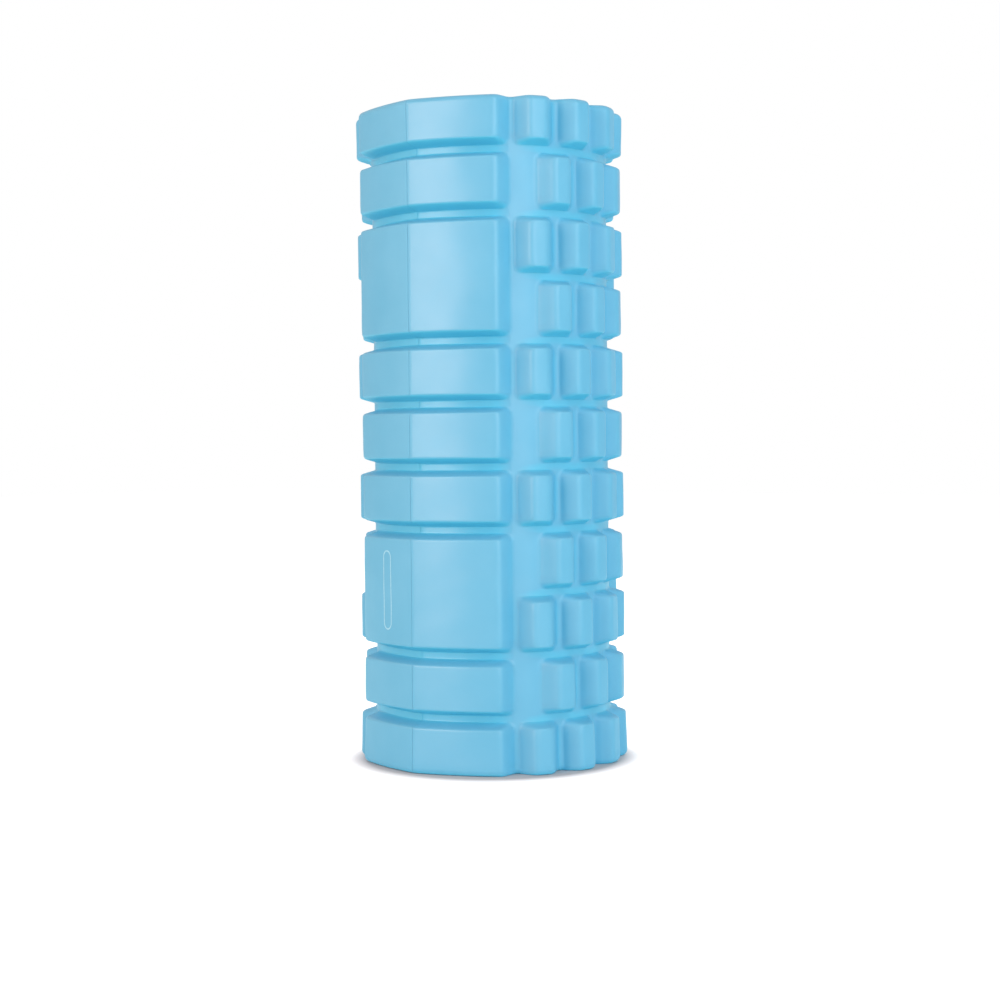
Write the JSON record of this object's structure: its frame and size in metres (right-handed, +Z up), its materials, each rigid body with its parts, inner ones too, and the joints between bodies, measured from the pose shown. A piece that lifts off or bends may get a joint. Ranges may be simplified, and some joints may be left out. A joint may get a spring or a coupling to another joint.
{
  "type": "foam roller",
  "caption": "Cylindrical massage roller: moulded foam with wide bands and small raised blocks, bonded round a rigid hollow tube.",
  "frame": {"origin": "centre of the lower end, on the surface that the roller stands on", "axes": "+Z up along the roller's axis; -Y towards the middle of one row of bands; +X towards the middle of one field of blocks"},
  "size_m": [0.1362, 0.1362, 0.33],
  "materials": {
    "foam": "satin",
    "core_plastic": "satin",
    "adhesive": "matte",
    "print": "satin"
  },
  "bodies": {
    "root": {"core_tube": "core_plastic", "core_adhesive": "adhesive", "foam_shell_left": "foam", "foam_shell_right": "foam", "seam_adhesive_front": "adhesive", "seam_adhesive_rear": "adhesive"}
  },
  "joints": []
}
